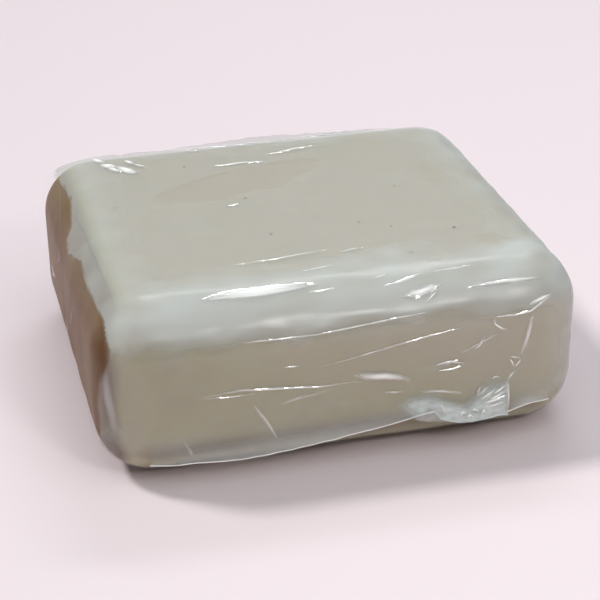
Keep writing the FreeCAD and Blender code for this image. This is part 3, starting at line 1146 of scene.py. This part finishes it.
FRONT_CREASES = [
    # The whitest of these, at the right corner and on the tab, are painted glints.
    Crease(((244, 343), (282, 339), (320, 334)), 0.38, 0.08, 0.47),
    Crease(((300, 338), (355, 327), (392, 319), (428, 312)), 0.38, 0.09, 0.54),
    Crease(((321, 367), (371, 353), (403, 343), (472, 325)), 0.5, 0.12, 0.54),
    Crease(((282, 367), (299, 366)), 0.44, 0.10, 0.81),
    Crease(((201, 398), (240, 390), (320, 387), (352, 382), (363, 382)), 0.69, 0.15, 0.81),
    Crease(((200, 399), (230, 397), (262, 392)), 0.44, 0.10, 0.47),
    Crease(((352, 374), (368, 376.5), (385, 376), (398, 377), (411, 380)), 1.7, 0.30, 1.0, softness=0.4),
    Crease(((384, 392), (405, 392)), 0.62, 0.12, 0.68),
    Crease(((253, 404), (268, 424), (282, 446)), 0.88, 0.12, 0.47),
    Crease(((184.5, 441), (190, 451), (195, 460)), 0.75, 0.12, 0.47),
    Crease(((282, 404), (300, 398), (330, 390)), 0.88, 0.10, 0.34),
    Crease(((434, 366), (450, 361), (466, 364)), 0.62, 0.16, 0.94),
    Crease(((437, 371), (452, 369), (464, 365)), 0.62, 0.16, 0.94),
    Crease(((442, 367), (450, 362), (461, 359)), 0.5, 0.14, 0.81),
    Crease(((472, 351), (480, 345), (485, 336)), 0.56, 0.14, 0.94),
    Crease(((459, 354), (480, 343), (499, 333)), 0.38, 0.09, 0.54),
    Crease(((494, 317), (495, 324), (503, 329), (508, 329)), 0.75, 0.18, 1.0),
    Crease(((494, 317), (515, 315), (531, 311), (552, 294)), 0.5, 0.12, 0.81),
    Crease(((529, 305), (540, 299), (552, 293)), 0.75, 0.16, 1.0),
    Crease(((533, 312), (529, 332), (522, 354)), 0.88, 0.16, 0.61),
    Crease(((508, 356), (515, 357), (521, 357)), 0.5, 0.12, 0.81),
    Crease(((508, 357), (512, 362), (514, 367)), 0.5, 0.12, 0.81),
    Crease(((521, 357), (518, 363), (514, 367)), 0.5, 0.12, 0.81),
    Crease(((419, 392), (440, 391), (463, 393)), 0.75, 0.12, 0.68),
    Crease(((477, 400), (479, 388), (484, 384)), 0.5, 0.12, 0.68),
    Crease(((479, 405), (494, 400), (507, 395)), 1.0, 0.25, 1.0, stand=1.0),
    Crease(((482, 409), (494, 405), (506, 401)), 0.8, 0.22, 0.9, stand=1.05),
    Crease(((486, 401), (497, 396), (507, 389)), 1.0, 0.25, 1.0, stand=0.9),
    Crease(((478, 401), (487, 395), (498, 387)), 0.9, 0.24, 1.0, stand=0.85),
    Crease(((490, 396), (499, 390), (507, 383)), 1.0, 0.24, 1.0, stand=0.8),
    Crease(((478, 397), (484, 390), (490, 385)), 0.6, 0.18, 0.8, stand=0.7),
    Crease(((508, 381), (508.5, 396), (508, 412)), 0.6, 0.18, 0.8, stand=0.95),
    Crease(((440, 404), (444, 411), (447, 417)), 0.7, 0.18, 0.6, stand=1.0),
    Crease(((457, 416), (463, 412), (468, 414)), 0.6, 0.24, 1.0, stand=1.0),
    Crease(((464, 419), (470, 415), (476, 418)), 0.6, 0.24, 1.0, stand=1.05),
    Crease(((470, 411), (475, 409), (480, 412)), 0.5, 0.22, 1.0, stand=0.95),
    Crease(((479, 416), (483, 411), (489, 412)), 0.6, 0.24, 1.0, stand=1.05),
    Crease(((489, 380), (496, 376), (500, 378)), 0.62, 0.14, 0.81),
    Crease(((508, 380), (512, 373), (516, 370)), 0.62, 0.14, 0.81),
]
# The film crumpled at the far left corner and along the far edge, and the folds at the left end.
FAR_CREASES = [
    Crease(((-19, 30.5), (-10, 31.6), (0, 31.4), (12, 31.8), (20, 31)), 6.0, 1.0, 0.22, Side.TOP, 0.05),
    Crease(((8, 32), (18, 31.2), (29, 32)), 3.5, 0.5, 0.20, Side.TOP, 0.10),
    Crease(((-33, 30.5), (-24, 32), (-13, 31.6)), 3.5, 0.5, 0.20, Side.TOP, 0.10),
    Crease(((-15, 28.8), (-6, 29.8), (3, 29.2)), 0.6, 0.22, 0.8, Side.TOP),
    Crease(((2, 31.4), (12, 31.2), (25, 31.8)), 0.6, 0.22, 1.0, Side.TOP),
    # The white crumples at the far left corner are painted glints.
    Crease(((92, 160), (98, 161), (106, 163)), 1.6, 0.30, 1.0, softness=0.25),
    Crease(((99, 164), (108, 166), (118, 169)), 2.4, 0.34, 1.0, softness=0.25),
    Crease(((106, 169), (114, 170), (122, 172)), 1.6, 0.28, 1.0, softness=0.4),
    Crease(((115, 167), (127, 170), (138, 174)), 2.6, 0.36, 1.0, softness=0.25),
    Crease(((123, 160), (129, 162), (135, 165)), 1.4, 0.28, 1.0, softness=0.4),
    Crease(((132, 164), (140, 166), (147, 167)), 0.9, 0.22, 0.9),
    Crease(((181, 151.5), (188, 151), (197, 151.5)), 0.7, 0.20, 0.8),
    Crease(((74, 300), (72, 314), (70, 329)), 0.6, 0.12, 0.02),
    Crease(((106, 372), (107.5, 395), (111, 412), (115, 432)), 2.2, 0.03, 0.16, flutter=0.1),
    Crease(((73, 213), (84, 234), (95, 260), (100, 271), (110.5, 296), (116, 311)), 0.9, 0.10, 0.10,
           softness=1.0),
    Crease(((56, 246), (60, 256), (57, 264)), 0.6, 0.12, 0.05),
    Crease(((61, 184), (60, 215), (62, 240)), 0.5, 0.08, 0.02),
]
# The hidden sides, where the film is drawn down and gathered as on a parcel.
HIDDEN_CREASES = drawn_creases(Side.BACK, 34, 12, 22, 71) + drawn_creases(Side.RIGHT, 30, 12, 18, 72)
HIDDEN_CREASES += drawn_creases(Side.LEFT, 26, 11, 3, 73) + drawn_creases(Side.BASE, 32, 27, 16, 74)


@dataclass
class Studio:
    """A plain pale floor, soft studio light and the photograph's camera."""

    form: BarForm
    lens: Lens
    floor_colour: Triple = (0.79, 0.685, 0.70)
    floor_size: float = 3.0
    key_from: Triple = (-0.52, 0.34, 0.78)
    key_strength: float = 1.84
    key_angle: float = math.radians(10)
    sky_from: Triple = (-0.1, 0.62, 0.78)
    sky_dim: Triple = (0.215, 0.205, 0.19)
    sky_bright: Triple = (0.235, 0.26, 0.285)
    cool: Triple = (0.88, 0.95, 1.0)
    box_from: Triple = (0.10, -0.46, 0.88)
    box_power: float = 1.12
    glint_from: Triple = (0.24, -0.75, 0.62)
    glint_power: float = 0.40
    strip_from: Triple = (0.22, 0.52, 0.80)
    strip_power: float = 0.80

    def build(self) -> None:
        """Make the floor, the lights and the camera."""
        self.build_floor()
        self.build_lights()
        self.build_camera()

    def build_floor(self) -> None:
        """Make the floor."""
        nodes = Nodes("pale_floor")
        shader = nodes.add(
            "ShaderNodeBsdfPrincipled", Roughness=0.9, Specular_IOR_Level=0.1,
            Base_Color=(*self.floor_colour, 1),
        )
        nodes.link(shader.outputs[0], nodes.output.inputs["Surface"])
        reach = self.floor_size / 2
        corners = [(-reach, -reach, 0), (reach, -reach, 0), (reach, reach, 0), (-reach, reach, 0)]
        mesh = bpy.data.meshes.new("floor")
        mesh.from_pydata(corners, [], [(0, 1, 2, 3)])
        mesh.materials.append(nodes.material)
        floor = bpy.data.objects.new("floor", mesh)
        bpy.context.scene.collection.objects.link(floor)

    def build_lights(self) -> None:
        """Make the key light, the soft box overhead, the lamps that the film mirrors, and the sky."""
        key = bpy.data.lights.new("key", "SUN")
        key.energy = self.key_strength
        key.angle = self.key_angle
        self.aim(key, self.key_from, 1.0).visible_glossy = False
        box = bpy.data.lights.new("soft_box", "AREA")
        box.size = 0.5
        box.energy = self.box_power
        box.color = self.cool
        self.aim(box, self.box_from, 0.6)
        glint = bpy.data.lights.new("glint_lamp", "AREA")
        glint.size = 0.075
        glint.energy = self.glint_power
        self.aim(glint, self.glint_from, 0.5)
        strip = bpy.data.lights.new("far_strip", "AREA")
        strip.shape = "RECTANGLE"
        strip.size = 0.30
        strip.size_y = 0.06
        strip.energy = self.strip_power
        strip.color = self.cool
        self.aim(strip, self.strip_from, 0.6)
        self.build_sky()

    def build_sky(self) -> None:
        """Make the sky: cool and bright high up behind the bar, warm and dim in front of it."""
        world = bpy.data.worlds.new("sky")
        world.use_nodes = True
        tree = world.node_tree
        place = tree.nodes.new("ShaderNodeTexCoord")
        height = tree.nodes.new("ShaderNodeVectorMath")
        height.operation = "DOT_PRODUCT"
        height.inputs[1].default_value = self.sky_from
        tree.links.new(place.outputs["Generated"], height.inputs[0])
        tones = tree.nodes.new("ShaderNodeValToRGB")
        tones.color_ramp.interpolation = "EASE"
        tones.color_ramp.elements[0].position = 0.0
        tones.color_ramp.elements[0].color = (*self.sky_dim, 1)
        tones.color_ramp.elements[1].position = 0.85
        tones.color_ramp.elements[1].color = (*self.sky_bright, 1)
        tree.links.new(height.outputs["Value"], tones.inputs["Fac"])
        tree.links.new(tones.outputs["Color"], tree.nodes["Background"].inputs["Color"])
        bpy.context.scene.world = world

    def aim(self, light: bpy.types.Light, way: Triple, distance: float) -> bpy.types.Object:
        """Place a light on a line from the bar and turn it to the bar.

        Args:
            light: The light.
            way: The direction from the bar to the light.
            distance: How far away it stands, in metres.

        Returns:
            The light in its place.
        """
        obj = bpy.data.objects.new(light.name, light)
        direction = mathutils.Vector(way).normalized()
        obj.location = direction * distance
        obj.rotation_euler = direction.to_track_quat("Z", "Y").to_euler()
        bpy.context.scene.collection.objects.link(obj)
        return obj

    def build_camera(self) -> None:
        """Make the photograph's camera."""
        data = bpy.data.cameras.new("camera")
        data.sensor_width = self.lens.sensor
        data.lens = self.lens.focal_pixels / self.lens.frame_pixels * self.lens.sensor
        data.clip_start = 0.01
        camera = bpy.data.objects.new("camera", data)
        right, up, back = self.lens.axes()
        turned = mathutils.Matrix([list(row) for row in np.stack([right, up, back], axis=1)]).to_4x4()
        turned.translation = mathutils.Vector((self.lens.place(self.form.middle) * MM).tolist())
        camera.matrix_world = turned
        bpy.context.scene.collection.objects.link(camera)
        bpy.context.scene.camera = camera


def main() -> None:
    """Build every piece in order."""
    logging.basicConfig(level=logging.INFO, format="%(name)s: %(message)s")
    bpy.context.scene.view_settings.view_transform = "Standard"
    form = BarForm(*span("soap_bar"))
    lens = Lens()
    SoapBar(form, lens).build(SoapFinish().build(), SpeckFinish().build())
    clear = FilmFinish("clear_film").build()
    # The creased film's near-white milk paints the glints on the creases.
    creased = FilmFinish("creased_film_and_glints", roughness=0.10, crinkle=0.30, gloss=0.42, through=0.05,
                          milk=(0.98, 0.97, 0.93)).build()
    doubled = FilmFinish("doubled_film", roughness=0.12, crinkle=0.40, gloss=0.16, through=0.2,
                          milk=(0.84, 0.92, 0.90)).build()
    film = Film(form, lens, clear, creased)
    film.build_skin()
    film.build_creases("film_creases_top", TOP_CREASES)
    film.build_creases("film_creases_front", FRONT_CREASES)
    film.build_creases("film_creases_far", FAR_CREASES)
    film.build_creases("film_creases_hidden", HIDDEN_CREASES)
    FilmEdge(form, lens, clear, creased, doubled).build()
    FilmBase(form, creased).build()
    Studio(form, lens).build()


if __name__ == "__main__":
    main()
